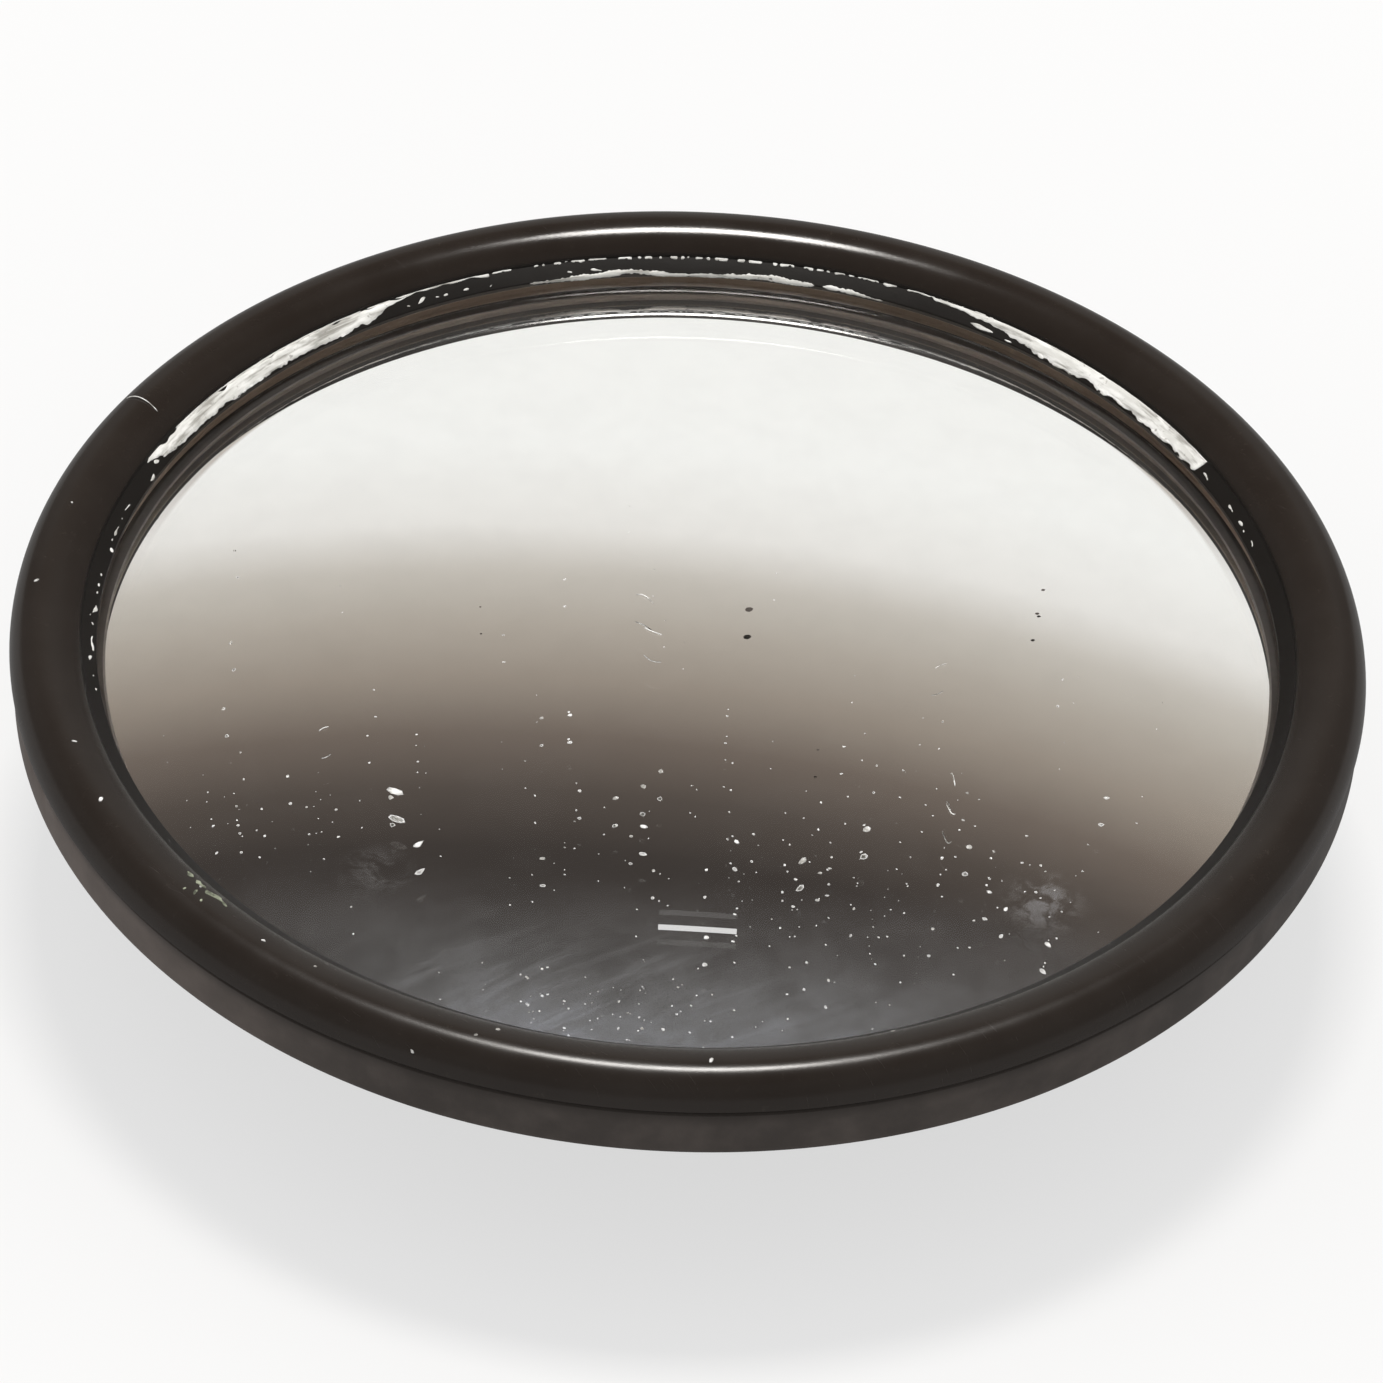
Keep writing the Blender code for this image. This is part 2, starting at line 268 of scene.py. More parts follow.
class Nodes:
    """A small helper that adds nodes to a material and links them."""

    def __init__(self, name):
        self.material = bpy.data.materials.new(name)
        self.material.use_nodes = True
        self.tree = self.material.node_tree
        self.shader = self.tree.nodes["Principled BSDF"]
        self.output = self.tree.nodes["Material Output"]
        place = self.tree.nodes.new("ShaderNodeTexCoord")
        scale = self.tree.nodes.new("ShaderNodeMapping")
        scale.inputs["Scale"].default_value = (1 / MM, 1 / MM, 1 / MM)
        self.tree.links.new(place.outputs["Object"], scale.inputs["Vector"])
        self.mm = scale.outputs["Vector"]

    def add(self, kind, inputs=None, **settings):
        node = self.tree.nodes.new(kind)
        for key, value in settings.items():
            setattr(node, key, value)
        for key, value in (inputs or {}).items():
            self.set(node.inputs[key], value)
        return node

    def set(self, socket, value):
        if isinstance(value, bpy.types.NodeSocket):
            self.tree.links.new(value, socket)
        elif isinstance(value, (tuple, list)) and len(value) == 3 and socket.type == "RGBA":
            socket.default_value = (*value, 1.0)
        else:
            socket.default_value = value

    def noise(self, scale, detail=3.0, rough=0.5, distortion=0.0, vector=None):
        node = self.add("ShaderNodeTexNoise", {
            "Vector": vector or self.mm, "Scale": scale, "Detail": detail,
            "Roughness": rough, "Distortion": distortion,
        })
        return node.outputs["Fac"]

    def voronoi(self, scale, feature="F1", vector=None):
        inputs = {"Vector": vector or self.mm, "Scale": scale}
        return self.add("ShaderNodeTexVoronoi", inputs, feature=feature).outputs["Distance"]

    def stretched(self, scale, turn=0.0):
        """Coordinates turned about Z, then scaled, so that noise streaks run along the small scale."""
        turned_by = self.add("ShaderNodeMapping", {"Vector": self.mm, "Rotation": (0.0, 0.0, turn)})
        inputs = {"Vector": turned_by.outputs["Vector"], "Scale": scale}
        return self.add("ShaderNodeMapping", inputs).outputs["Vector"]

    def round_ring(self, along, across):
        """Coordinates that follow the ring, so that noise streaks run round it."""
        x, y, z = self.axes()
        arc = self.math("MULTIPLY", self.math("ARCTAN2", y, x), GLASS_R * along)
        radius = self.math("MULTIPLY", self.length(x, y), across)
        height = self.math("MULTIPLY", z, across)
        return self.add("ShaderNodeCombineXYZ", {"X": arc, "Y": radius, "Z": height}).outputs["Vector"]

    def ramp(self, value, low, high, out_low=0.0, out_high=1.0):
        node = self.add("ShaderNodeMapRange", {
            "Value": value, "From Min": low, "From Max": high, "To Min": out_low, "To Max": out_high,
        }, interpolation_type="SMOOTHSTEP")
        return node.outputs["Result"]

    def math(self, operation, first, second=0.0):
        node = self.add("ShaderNodeMath", operation=operation)
        self.set(node.inputs[0], first)
        self.set(node.inputs[1], second)
        return node.outputs[0]

    def mix(self, factor, first, second):
        node = self.add("ShaderNodeMix", data_type="RGBA")
        self.set(node.inputs[0], factor)
        self.set(node.inputs[6], first)
        self.set(node.inputs[7], second)
        return node.outputs[2]

    def bump(self, height, distance, strength=1.0, normal=None):
        inputs = {"Height": height, "Distance": distance * MM, "Strength": strength}
        if normal:
            inputs["Normal"] = normal
        return self.add("ShaderNodeBump", inputs).outputs["Normal"]

    def axes(self):
        parts = self.add("ShaderNodeSeparateXYZ", {"Vector": self.mm})
        return parts.outputs["X"], parts.outputs["Y"], parts.outputs["Z"]

    def length(self, x, y):
        flat = self.add("ShaderNodeCombineXYZ", {"X": x, "Y": y}).outputs["Vector"]
        return self.add("ShaderNodeVectorMath", {0: flat}, operation="LENGTH").outputs["Value"]

    def finish(self, **inputs):
        for key, value in inputs.items():
            self.set(self.shader.inputs[key.replace("_", " ")], value)
        return self.material


def black_plastic():
    """Glossy moulded plastic, rubbed grey on the skirt with painted light that brightens its left side, and
    dull on the ledge inside the bead with painted shade darkening it.
    """
    n = Nodes("black_plastic")
    x, y, z = n.axes()
    cloud = n.noise(0.35, 4, 0.6)
    grain = n.noise(9.0, 3, 0.6)
    fine = n.noise(38.0, 2, 0.5)
    scuff_at = n.stretched((0.5, 7.0, 0.5), 0.7)
    scuff = n.ramp(n.noise(1.1, 5, 0.75, 0.4, scuff_at), 0.63, 0.76)
    dust = n.ramp(n.noise(2.6, 6, 0.8), 0.58, 0.78)
    colour = n.mix(cloud, (0.0150, 0.0112, 0.0090), (0.0225, 0.0175, 0.0145))
    colour = n.mix(n.math("MULTIPLY", dust, 0.08), colour, (0.20, 0.17, 0.14))
    colour = n.mix(n.math("MULTIPLY", scuff, 0.06), colour, (0.13, 0.11, 0.095))
    # Painted shade: the ledge inside the bead, above the lip, is darkened almost to black.
    inside = n.ramp(n.length(x, y), WELL_R, WELL_R + 0.12, 1.0, 0.0)
    ledge_shade = n.math("MULTIPLY", inside, n.ramp(z, RIM_Z - 0.2, RIM_Z))
    colour = n.mix(n.math("MULTIPLY", ledge_shade, 0.65), colour, (0.004, 0.0035, 0.003))
    # Skirt colour: partly real rubbing and dust in patches, partly painted light that makes the skirt's left
    # side brighter.
    side = n.ramp(n.length(x, y), SKIRT_R - 0.35, SKIRT_R - 0.12)
    side = n.math("MULTIPLY", side, n.ramp(z, UNDER_Z, UNDER_Z + 0.4))
    side = n.math("MULTIPLY", side, n.ramp(z, RIM_Z - 0.7, RIM_Z + 0.1, 1.0, 0.0))
    patches = n.ramp(n.noise(0.5, 4, 0.6), 0.35, 0.75, -0.05, 0.12)
    rubbed_and_left_light = n.math("ADD", n.ramp(x, -25.0, -8.0, 0.75, 0.20), patches)
    colour = n.mix(n.math("MULTIPLY", side, rubbed_and_left_light), colour, (0.135, 0.108, 0.094))
    rough = n.math("ADD", n.ramp(y, -20.0, 20.0, 0.25, 0.14), n.ramp(cloud, 0.3, 0.7, -0.02, 0.02))
    rough = n.math("ADD", rough, n.math("MULTIPLY", scuff, 0.16))
    rough = n.math("ADD", rough, n.math("MULTIPLY", n.math("ADD", side, ledge_shade), 0.2))
    height = n.math("ADD", grain, n.math("MULTIPLY", fine, 0.4))
    normal = n.bump(height, 0.004, 0.5)
    return n.finish(Base_Color=colour, Roughness=rough, Normal=normal, IOR=1.46)


def clear_glass():
    """Clear glass with a film of grime that is thickest by the near edge, with wipe marks in it."""
    n = Nodes("clear_glass")
    x, y, _ = n.axes()
    away = n.length(n.math("ADD", x, 4.0), n.math("MULTIPLY", n.math("ADD", y, 23.5), 1.8))
    near = n.ramp(away, 3.0, 17.0, 1.0, 0.0)
    wide = n.ramp(y, -20.0, -11.0, 1.0, 0.0)
    cloud = n.ramp(n.noise(0.22, 5, 0.62, 0.8), 0.40, 0.66)
    wipe = n.noise(1.0, 6, 0.75, 0.25, n.stretched((0.12, 1.5, 1.0), -0.50))
    cross = n.noise(1.0, 5, 0.75, 0.25, n.stretched((0.16, 2.4, 1.0), -0.72))
    streak = n.math("MULTIPLY", n.ramp(wipe, 0.44, 0.64), n.ramp(cross, 0.36, 0.60, 0.25, 1.0))
    fleck = n.ramp(n.noise(3.0, 4, 0.8), 0.62, 0.74)
    film = n.math("ADD", n.math("MULTIPLY", cloud, 0.020), n.math("MULTIPLY", streak, 0.052))
    film = n.math("MULTIPLY", film, n.math("ADD", near, n.math("MULTIPLY", wide, 0.10)))
    sheet = n.math("MULTIPLY", n.ramp(y, -21.5, -16.0, 0.046, 0.0), n.ramp(x, -13.5, -5.0))
    sheet = n.math("MULTIPLY", sheet, n.ramp(x, 12.0, 19.0, 1.0, 0.3))
    thin = n.math("MULTIPLY", n.ramp(y, -16.5, -13.2, 0.020, 0.0), n.ramp(x, -19.0, -11.0, 0.35, 1.0))
    sheet = n.math("ADD", sheet, thin)
    sheet = n.math("MULTIPLY", sheet, n.ramp(n.noise(0.5, 4, 0.6, 0.5), 0.3, 0.7, 0.75, 1.25))
    right = n.ramp(n.length(n.math("SUBTRACT", x, 13.1), n.math("ADD", y, 13.4)), 0.3, 1.9, 1.0, 0.0)
    left = n.ramp(n.length(n.math("ADD", x, 10.8), n.math("ADD", y, 13.6)), 0.3, 1.7, 0.4, 0.0)
    patchy = n.ramp(n.noise(1.1, 5, 0.7, 0.6), 0.42, 0.62, 0.0, 0.075)
    smudges = n.math("MULTIPLY", n.math("ADD", right, left), patchy)
    edge = n.math("MULTIPLY", n.ramp(away, 1.0, 8.0, 0.055, 0.0), n.ramp(cloud, 0.0, 1.0, 0.55, 1.0))
    speck = n.math("MULTIPLY", n.math("MULTIPLY", fleck, wide), 0.02)
    all_over = n.ramp(cloud, 0.0, 1.0, 0.002, 0.005)
    veil = n.math("ADD", n.math("ADD", film, edge), n.math("ADD", speck, all_over))
    veil = n.math("ADD", veil, n.math("ADD", sheet, smudges))
    clear = n.math("SUBTRACT", 1.0, veil)
    tint = n.mix(n.ramp(veil, 0.01, 0.16), (0.975, 0.975, 0.985), (0.87, 0.90, 0.99))
    # Painted shade: a dark tint over the glass's outer band, on the far side only.
    margin = n.ramp(n.length(x, y), SILVER_R - 0.30, SILVER_R - 0.10)
    shade = n.math("MULTIPLY", margin, n.ramp(y, 4.0, 12.0))
    tint = n.mix(shade, tint, (0.34, 0.29, 0.26))
    return n.finish(Base_Color=tint, Roughness=0.0, IOR=1.52, Specular_IOR_Level=0.2,
                    Transmission_Weight=clear)


def silver_back():
    n = Nodes("silver_back")
    age = n.ramp(n.noise(0.5, 4, 0.6), 0.3, 0.8)
    colour = n.mix(age, (0.93, 0.93, 0.915), (0.90, 0.90, 0.885))
    return n.finish(Base_Color=colour, Metallic=1.0, Roughness=0.0)


def ground_edge():
    n = Nodes("ground_edge")
    grit = n.noise(3.0, 4, 0.6)
    colour = n.mix(grit, (0.42, 0.34, 0.27), (0.60, 0.50, 0.41))
    return n.finish(Base_Color=colour, Roughness=0.8, Normal=n.bump(grit, 0.01, 0.3))


def dark_margin():
    n = Nodes("dark_margin")
    grit = n.noise(3.0, 4, 0.6)
    colour = n.mix(grit, (0.045, 0.037, 0.032), (0.085, 0.070, 0.060))
    return n.finish(Base_Color=colour, Roughness=0.6)


def silver_line():
    n = Nodes("silver_line")
    grit = n.noise(2.0, 4, 0.7)
    colour = n.mix(grit, (0.12, 0.10, 0.09), (0.36, 0.33, 0.30))
    return n.finish(Base_Color=colour, Roughness=0.6)


def lip_film():
    n = Nodes("lip_film")
    _, _, z = n.axes()
    grit = n.noise(1.6, 5, 0.65)
    colour = n.mix(grit, (0.042, 0.037, 0.032), (0.090, 0.078, 0.067))
    under = n.ramp(z, RIM_Z + LIP_LOW + 0.005, RIM_Z + LIP_LOW + 0.04, 1.0, 0.0)
    colour = n.mix(under, colour, n.mix(grit, (0.62, 0.53, 0.44), (0.82, 0.72, 0.61)))
    return n.finish(Base_Color=colour, Roughness=0.7, Normal=n.bump(grit, 0.01, 0.4))


def seal_shadow():
    n = Nodes("seal_shadow")
    grit = n.noise(2.2, 4, 0.7)
    colour = n.mix(grit, (0.08, 0.07, 0.06), (0.22, 0.20, 0.18))
    return n.finish(Base_Color=colour, Roughness=0.7, Normal=n.bump(grit, 0.03, 0.6))


def white_sealant():
    n = Nodes("white_sealant")
    lump = n.noise(1.0, 4, 0.55, 0.2, n.round_ring(0.7, 3.0))
    drag = n.noise(1.0, 5, 0.6, 0.2, n.round_ring(0.35, 5.0))
    colour = n.mix(n.ramp(drag, 0.36, 0.54), (0.27, 0.26, 0.235), (0.57, 0.565, 0.535))
    colour = n.mix(n.ramp(lump, 0.42, 0.66), colour, (0.74, 0.735, 0.71))
    dirt = n.math("MULTIPLY", n.ramp(n.noise(4.0, 3, 0.6), 0.62, 0.72), 0.6)
    colour = n.mix(dirt, colour, (0.14, 0.125, 0.105))
    return n.finish(Base_Color=colour, Roughness=0.5, Normal=n.bump(lump, 0.03, 0.6))


def paste_green():
    n = Nodes("paste_green")
    lump = n.noise(2.5, 5, 0.7)
    colour = n.mix(n.ramp(lump, 0.35, 0.65), (0.05, 0.055, 0.035), (0.34, 0.37, 0.27))
    return n.finish(Base_Color=colour, Roughness=0.7, Normal=n.bump(lump, 0.03, 0.6))


def dust_white():
    n = Nodes("dust_white")
    tone = n.ramp(n.noise(1.7, 2, 0.5), 0.38, 0.66)
    colour = n.mix(tone, (0.26, 0.25, 0.23), (0.92, 0.91, 0.88))
    return n.finish(Base_Color=colour, Roughness=0.8, Subsurface_Weight=0.9,
                    Subsurface_Radius=(1.0, 1.0, 1.0), Subsurface_Scale=0.1 * MM)


def dark_grit():
    n = Nodes("dark_grit")
    tone = n.noise(9.0, 2, 0.5)
    colour = n.mix(tone, (0.035, 0.028, 0.024), (0.075, 0.06, 0.05))
    return n.finish(Base_Color=colour, Roughness=0.8)


def grey_foam():
    n = Nodes("grey_foam")
    cells = n.voronoi(7.0)
    tone = n.noise(1.4, 3, 0.6)
    colour = n.mix(tone, (0.14, 0.14, 0.14), (0.22, 0.22, 0.215))
    colour = n.mix(n.ramp(cells, 0.0, 0.35, 0.5, 0.0), colour, (0.05, 0.05, 0.05))
    return n.finish(Base_Color=colour, Roughness=0.85, Normal=n.bump(cells, 0.05, 0.8))


def white_foam():
    n = Nodes("white_foam")
    cells = n.voronoi(6.0)
    colour = n.mix(n.ramp(cells, 0.0, 0.4), (0.5, 0.49, 0.46), (0.78, 0.77, 0.73))
    return n.finish(Base_Color=colour, Roughness=0.9, Normal=n.bump(cells, 0.05, 0.8))


def black_rubber():
    n = Nodes("black_rubber")
    tone = n.noise(5.0, 4, 0.6)
    colour = n.mix(tone, (0.012, 0.012, 0.012), (0.026, 0.026, 0.027))
    return n.finish(Base_Color=colour, Roughness=0.75, Normal=n.bump(tone, 0.02, 0.6))


def plated_steel():
    n = Nodes("plated_steel")
    brush = n.noise(6.0, 4, 0.7, 0.2, n.stretched((1.0, 1.0, 9.0)))
    spots = n.ramp(n.noise(2.2, 5, 0.7), 0.58, 0.75)
    colour = n.mix(brush, (0.52, 0.51, 0.49), (0.68, 0.67, 0.64))
    colour = n.mix(n.math("MULTIPLY", spots, 0.35), colour, (0.32, 0.29, 0.25))
    rough = n.ramp(brush, 0.2, 0.8, 0.22, 0.40)
    return n.finish(Base_Color=colour, Metallic=1.0, Roughness=rough, Normal=n.bump(brush, 0.006, 0.6))


def pale_floor():
    """Pale floor with a little glow of its own; what gloss reflects of it is darker."""
    n = Nodes("pale_floor")
    tone = n.noise(0.01, 2, 0.5)
    glossy = n.add("ShaderNodeLightPath").outputs["Is Glossy Ray"]
    seen = n.math("SUBTRACT", 1.0, n.math("MULTIPLY", glossy, 0.7))
    colour = n.mix(seen, (0.0, 0.0, 0.0), n.mix(tone, (0.20, 0.20, 0.20), (0.22, 0.22, 0.22)))
    glow = n.math("MULTIPLY", seen, 0.64)
    return n.finish(Base_Color=colour, Roughness=0.9, Specular_IOR_Level=0.0,
                    Emission_Color=(1.0, 1.0, 1.0), Emission_Strength=glow)


PLASTIC = black_plastic()
STEEL = plated_steel()
SEALANT = white_sealant()
DUST = dust_white()
GRIT = dark_grit()
FOAM = grey_foam()
RUBBER = black_rubber()


# ---------------------------------------------------------------- head

def glass_height(radius):
    """Height of the glass face above its own edge."""
    return math.sqrt(CURVE_R ** 2 - radius ** 2) - math.sqrt(CURVE_R ** 2 - GLASS_R ** 2)


def wave(angle, scale, seed):
    """Smooth random value, about -1 to 1, that closes round the circle."""
    place = Vector((math.cos(angle) * scale, math.sin(angle) * scale, seed))
    return noise.noise(place)


def nick(angle, centre, width):
    """1 in the middle of a stretch of the circle, 0 outside it. Degrees."""
    away = abs((math.degrees(angle) - centre + 180) % 360 - 180)
    t = max(0.0, 1 - away / width)
    return t * t * (3 - 2 * t)


def rim_profile():
    """Rolled bead, tight outside and fuller inside, then the lip over the glass and the wall behind it."""
    top = HEAD_R - BEAD_OUT
    start = math.radians(4)
    finish = math.pi - math.acos((top - WELL_R) / BEAD_IN)
    points = []
    for step in range(37):
        angle = start + (finish - start) * step / 36
        reach = BEAD_OUT if angle < math.pi / 2 else BEAD_IN
        points.append((top + reach * math.cos(angle), RIM_Z + BEAD_R * math.sin(angle)))
    inside = SKIRT_R - WALL - 0.05
    low = RIM_Z - SKIRT_DROP + 0.1
    points += rounded([
        (WELL_R, points[-1][1] - 0.02, 0),
        (LIP_R, RIM_Z + LIP_HIGH, 0.06),
        (LIP_R, RIM_Z + LIP_LOW, 0.04),
        (WELL_R, RIM_Z + LIP_LOW, 0.02),
        (WELL_R, low, 0.08),
        (inside, low, 0.12),
        (inside, RIM_Z, 0.03),
        (HEAD_R - 0.24, RIM_Z, 0),
    ], 0.05, closed=False)
    return points


def rim_wobble(angle, radius, height):
    lip = max(0.0, 1 - abs(height - RIM_Z) / 0.12) if radius > HEAD_R - 0.6 else 0.0
    lift = 0.035 * wave(angle, 9.0, 3.1) + 0.02 * wave(angle, 40.0, 5.7)
    return radius - 0.02 * lip * wave(angle, 25.0, 8.2), height + lip * lift


def rim_mesh():
    """Slot 1 is the adhesive film on the lip's edge and underside."""
    work = turned(rim_profile(), FINE, wobble=rim_wobble)
    for face in work.faces:
        middle = face.calc_center_median() / MM
        if math.hypot(middle.x, middle.y) < WELL_R - 0.02 and middle.z < RIM_Z + LIP_HIGH - 0.06:
            face.material_index = 1
    return work


piece("rim", rim_mesh(), "head", [PLASTIC, lip_film()], ["bezel_ring"], sharp=50)


def shell_profile():
    """Floor, skirt and underside, from the axis out and back, with two ring lines underneath."""
    inside = SKIRT_R - WALL
    floor_z = UNDER_Z + FLOOR_T
    top = RIM_Z - SEAM
    low = RIM_Z - SKIRT_DROP
    return rounded([
        (0.0, floor_z, 0),
        (inside, floor_z, 0.2),
        (inside, top, 0.05),
        (SKIRT_R - 0.07, top, 0.02),
        (SKIRT_R - 0.01, top - 0.07, 0.04),
        (SKIRT_R - 0.01, low, 0.32),
        (SKIRT_R - 1.0, low - 0.06, 0.2),
        (FLOOR_R, UNDER_Z, 0.5),
        (19.0, UNDER_Z, 0.04),
        (18.9, UNDER_Z + LINE_DEEP, 0.04),
        (18.2, UNDER_Z + LINE_DEEP, 0.04),
        (18.1, UNDER_Z, 0.04),
        (10.9, UNDER_Z, 0.04),
        (10.8, UNDER_Z + LINE_DEEP, 0.04),
        (10.3, UNDER_Z + LINE_DEEP, 0.04),
        (10.2, UNDER_Z, 0.04),
        (0.0, UNDER_Z, 0),
    ], 0.05, closed=False)


def shell_wobble(angle, radius, height):
    """The top edge is chipped on the left and pressed up against the bezel in front."""
    lip = max(0.0, 1 - abs(height - (RIM_Z - SEAM)) / 0.2) if radius > SKIRT_R - 0.5 else 0.0
    closed = nick(angle, 275, 62)
    if radius > SKIRT_R - 0.6 and height > RIM_Z - SKIRT_DROP - 0.1:
        radius += 0.10 * min(1.0, 1.6 * closed)
    drop = 0.03 * wave(angle, 12.0, 1.3) * (1 - closed) + (SEAM - 0.02) * min(1.0, 1.6 * closed)
    chips = 0.0
    for centre, depth in ((196.5, 0.30), (199, 0.20), (202, 0.26), (206, 0.16), (209.5, 0.18), (213.5, 0.12)):
        chips += depth * nick(angle, centre, 1.6)
    return radius - 0.4 * lip * chips, height + lip * (drop - chips)


shell = turned(shell_profile(), FINE, closed=False, wobble=shell_wobble)
piece("shell", shell, "head", [PLASTIC], ["housing_shell"], sharp=50)
for side, word in ((-1, "left"), (1, "right")):
    lug = eye_plate(side * LUG_IN, side * LUG_OUT, UNDER_Z + 0.1, PIN_R + 0.08, 0.35)
    piece("lug_" + word, lug, "head", [PLASTIC], ["housing_shell"], sharp=50)


def glass_mesh():
    """Slots: 0 front face, 1 ground edge, 2 silvered back, 3 bare dark margin, 4 line between them."""
    rings = 40
    arris = 0.1
    profile = []
    for step in range(rings + 1):
        radius = (GLASS_R - arris) * step / rings
        profile.append((radius, GLASS_EDGE_Z + glass_height(radius)))
    profile.append((GLASS_R, GLASS_EDGE_Z - arris))
    profile.append((GLASS_R, GLASS_EDGE_Z - GLASS_T + arris))
    mirror_r = SILVER_R - SILVER_LINE
    back = [GLASS_R - arris, SILVER_R, mirror_r]
    back += [mirror_r * step / rings for step in range(rings - 1, -1, -1)]
    for radius in back:
        profile.append((radius, GLASS_EDGE_Z + glass_height(radius) - GLASS_T))
    work = turned(profile, FINE, closed=False)
    for face in work.faces:
        middle = face.calc_center_median() / MM
        radius = math.hypot(middle.x, middle.y)
        if radius > GLASS_R - arris:
            face.material_index = 1
        elif middle.z < GLASS_EDGE_Z + glass_height(radius) - GLASS_T / 2:
            face.material_index = 2 if radius < mirror_r else (4 if radius < SILVER_R else 3)
    return work


piece("glass", glass_mesh(), "head",
      [clear_glass(), ground_edge(), silver_back(), dark_margin(), silver_line()], ["mirror_glass"], sharp=25)


def ledge(along):
    """Point on the sloping ledge inside the bead, and the direction out of it.

    0 is the foot of the bead, 1 the edge of the lip and 1.4 the glass.
    """
    foot = Vector((WELL_R + 0.02, RIM_Z + LEDGE_RISE))
    edge = Vector((LIP_R + 0.02, RIM_Z + LIP_HIGH - 0.01))
    low = Vector((LIP_R, RIM_Z + LIP_LOW + 0.03))
    slope = (edge - foot).normalized()
    out = Vector((slope.y, -slope.x))
    if along <= 1:
        return foot.lerp(edge, along), out
    t = min(1.0, (along - 1) / 0.4)
    return edge.lerp(low, t), out.lerp(Vector((-1.0, 0.1)), min(1.0, t * 3)).normalized()


def bead(section):
    """Point on the rolled bead at an angle up from its outer side, and the direction out of it."""
    angle = math.radians(section)
    reach = BEAD_OUT if section < 90 else BEAD_IN
    place = Vector((HEAD_R - BEAD_OUT + reach * math.cos(angle), RIM_Z + BEAD_R * math.sin(angle)))
    return place, Vector((math.cos(angle) / reach, math.sin(angle) / BEAD_R)).normalized()


def smear(work, first, last, spans, thick, seed, step=0.12, surface=ledge, gap=0.03):
    """A dried smear from one angle to another.

    spans(angle) gives its two ends across the surface; where they cross there is a gap.
    """
    count = int((last - first) / step)
    run = []
    for index in range(count + 1):
        degrees = first + (last - first) * index / count
        near, far = spans(degrees)
        if far - near >= gap and index < count:
            run.append((degrees, near, far))
            continue
        if len(run) > 2:
            smear_run(work, run, thick, seed, surface)
        run = []


def smear_run(work, run, thick, seed, surface):
    """One unbroken stretch of a smear, closed at both ends."""
    loops = []
    for index, (degrees, near, far) in enumerate(run):
        angle = math.radians(degrees)
        taper = 0.35 if index in (0, len(run) - 1) else 1.0
        height = taper * thick * (0.75 + 0.5 * noise.noise(Vector((degrees * 0.9, near, seed))))
        loop = []
        for t, lift in ((0, -0.02), (0.06, 0.7), (0.3, 1.0), (0.7, 1.0), (0.94, 0.7), (1, -0.02)):
            place, out = surface(near + (far - near) * t)
            rough = 1 + 0.22 * noise.noise(Vector((degrees * 1.6, t * 3.0, seed + 7)))
            place = place + out * (height * lift * rough if lift > 0 else -0.01)
            spot = (place.x * math.cos(angle) * MM, place.x * math.sin(angle) * MM, place.y * MM)
            loop.append(work.verts.new(spot))
        loops.append(loop)
    for first, second in zip(loops, loops[1:]):
        for a in range(len(first)):
            b = (a + 1) % len(first)
            work.faces.new((first[a], first[b], second[b], second[a]))
    work.faces.new(list(reversed(loops[0])))
    work.faces.new(loops[-1])


def rough_line(degrees, scale, seed):
    """Smooth random value, about -1 to 1, along an angle in degrees."""
    return noise.noise(Vector((degrees * scale, seed, seed * 1.7))) * 1.6


def ramp_up(value, low, high):
    t = max(0.0, min(1.0, (value - low) / (high - low)))
    return t * t * (3 - 2 * t)


def strip_right(degrees):
    """The broad strip at the far right, cut off square at its near end."""
    body = ramp_up(degrees, 30.4, 30.8) * (1 - 0.8 * ramp_up(degrees, 52, 66))
    low = body * (0.98 + 0.22 * rough_line(degrees, 0.45, 1.0) + 0.09 * rough_line(degrees, 1.9, 2.0))
    return 0.02, low - 0.9 * ramp_up(degrees, 66.5, 68)


def strip_right_thin(degrees):
    """Loose flecks below the right strip."""
    centre = 0.85 + 0.2 * rough_line(degrees, 0.3, 4.0)
    half = 0.12 * rough_line(degrees, 0.8, 5.0) + 0.02
    return centre - half, centre + half


def strip_left(degrees):
    """The broad strip at the far left, tapered at both ends."""
    body = ramp_up(degrees, 119, 128) * (1 - 0.8 * ramp_up(degrees, 153, 158))
    low = body * (0.98 + 0.2 * rough_line(degrees, 0.5, 7.0) + 0.08 * rough_line(degrees, 2.0, 8.0))
    return 0.02 + 0.22 * max(0.0, rough_line(degrees, 0.6, 6.0)), low - 0.9 * ramp_up(degrees, 157.5, 159)


def strip_left_top(degrees):
    """A thin line on from the left strip, along the foot of the bead."""
    half = 0.10 + 0.10 * rough_line(degrees, 0.7, 9.0)
    return 0.0, half


def dashes(degrees):
    """Short dashes along the foot of the bead, across the far side."""
    middle = ramp_up(degrees, 76, 84) * (1 - ramp_up(degrees, 95, 102))
    half = 0.09 + 0.08 * middle + 0.08 * rough_line(degrees, 0.9, 10.0)
    broken = max(0.0, min(1.0, 2.6 * rough_line(degrees, 2.3, 19.0) + 0.7))
    return -0.02, half * broken


def wavy(degrees):
    """A wavy line over the edge of the lip, broken off to the right into lower patches."""
    fade = ramp_up(degrees, 72, 76) * (1 - ramp_up(degrees, 103, 109))
    patch = 1 - ramp_up(degrees, 77.5, 79.0)
    centre = 1.10 + 0.16 * rough_line(degrees, 0.22, 11.0) + 0.04 * patch
    half = 0.20 * fade + 0.07 * rough_line(degrees, 0.9, 12.0) + 0.06 * rough_line(degrees, 3.1, 20.0)
    half += 0.10 * patch * rough_line(degrees, 0.8, 21.0) - 0.3 * nick(math.radians(degrees), 78.4, 1.5)
    return centre - half, centre + half


def spots(degrees):
    """Scattered spots on the ledge."""
    centre = 0.7 + 0.3 * rough_line(degrees, 0.5, 13.0)
    half = 0.16 * rough_line(degrees, 1.1, 14.0) - 0.01
    return centre - half, centre + half


